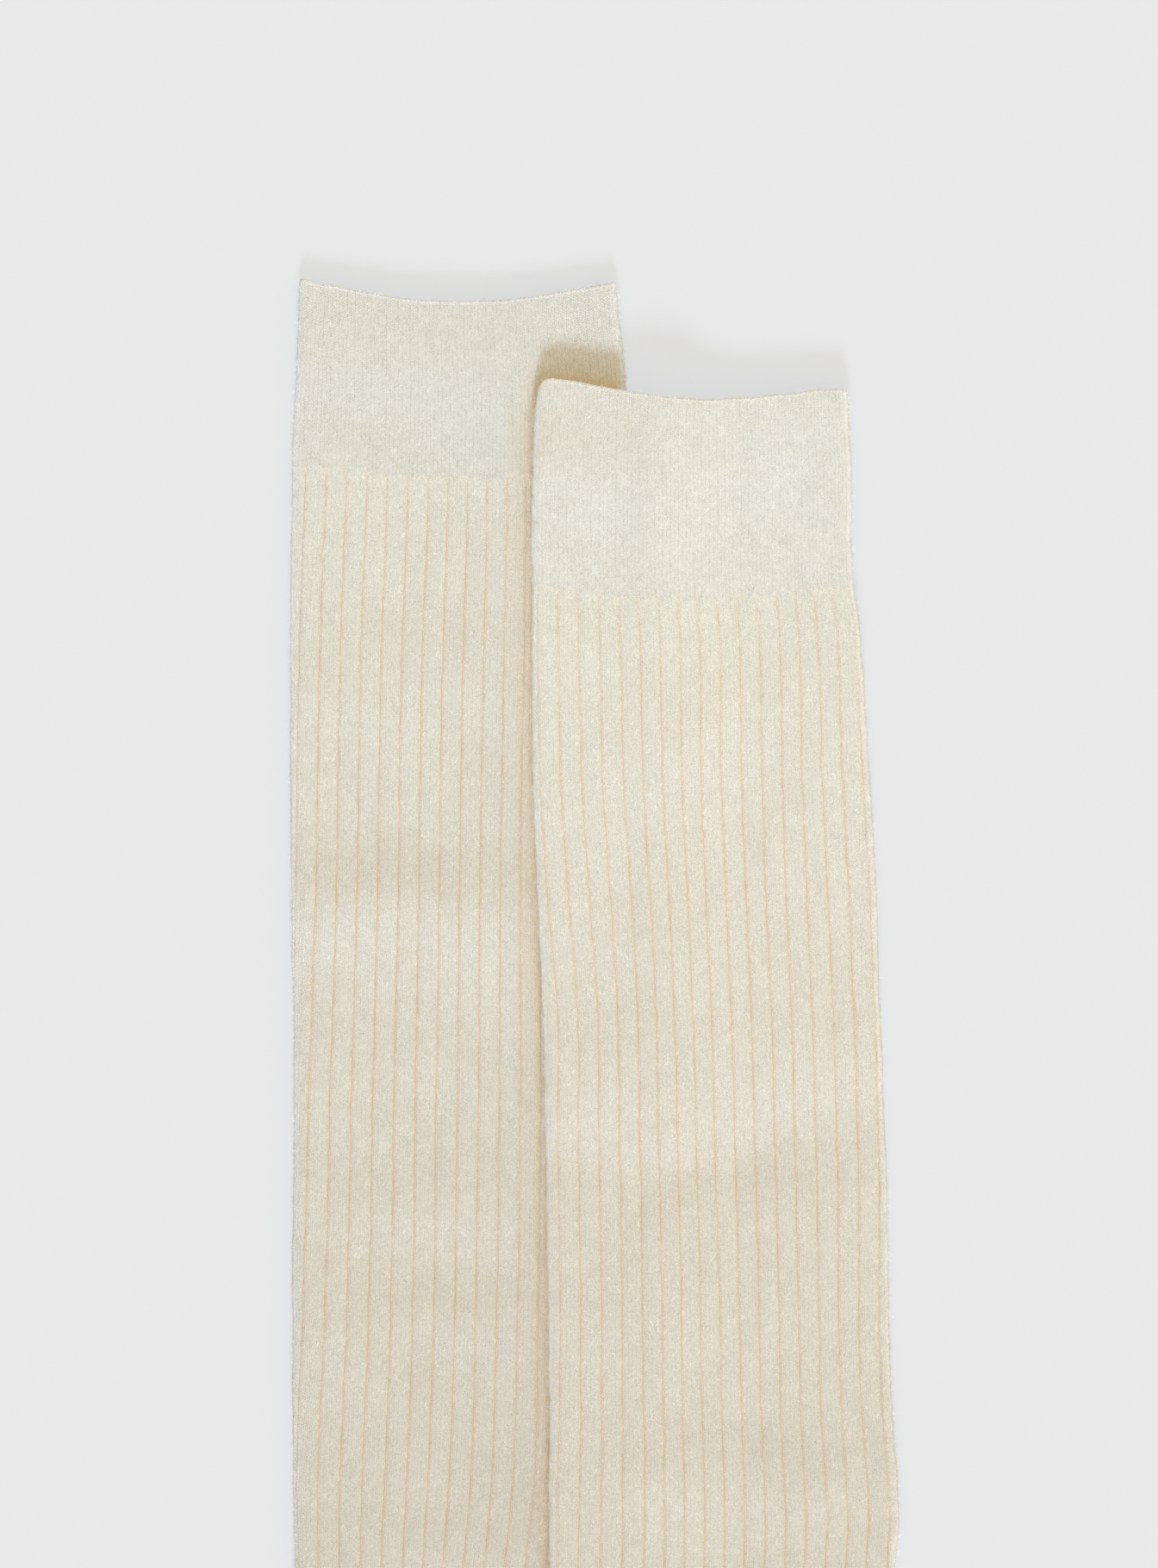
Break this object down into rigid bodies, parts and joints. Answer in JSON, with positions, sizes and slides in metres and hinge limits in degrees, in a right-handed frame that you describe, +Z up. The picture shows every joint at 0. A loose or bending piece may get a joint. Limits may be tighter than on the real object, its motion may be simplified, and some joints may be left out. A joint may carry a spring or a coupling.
{
  "type": "pair of knee socks",
  "caption": "Pair of ribbed knit knee socks with plain cuffs, laid flat and overlapping, open at the top and closed at the toe.",
  "frame": {"origin": "centre of the pair's footprint, on the surface that it lies on", "axes": "+Y up the legs towards the cuffs, +X to the side that the toes point to, +Z up from the surface"},
  "size_m": [0.2904, 0.5364, 0.011],
  "materials": {
    "plain_knit": "soft matt fine plain knit",
    "ribbed_knit": "soft matt wide flat rib knit with thin sunken channels"
  },
  "bodies": {
    "root": {"lower_cuff": "plain_knit", "lower_leg": "ribbed_knit", "lower_heel": "plain_knit", "lower_toe": "plain_knit", "upper_cuff": "plain_knit", "upper_leg": "ribbed_knit", "upper_heel": "plain_knit", "upper_toe": "plain_knit"}
  },
  "joints": []
}
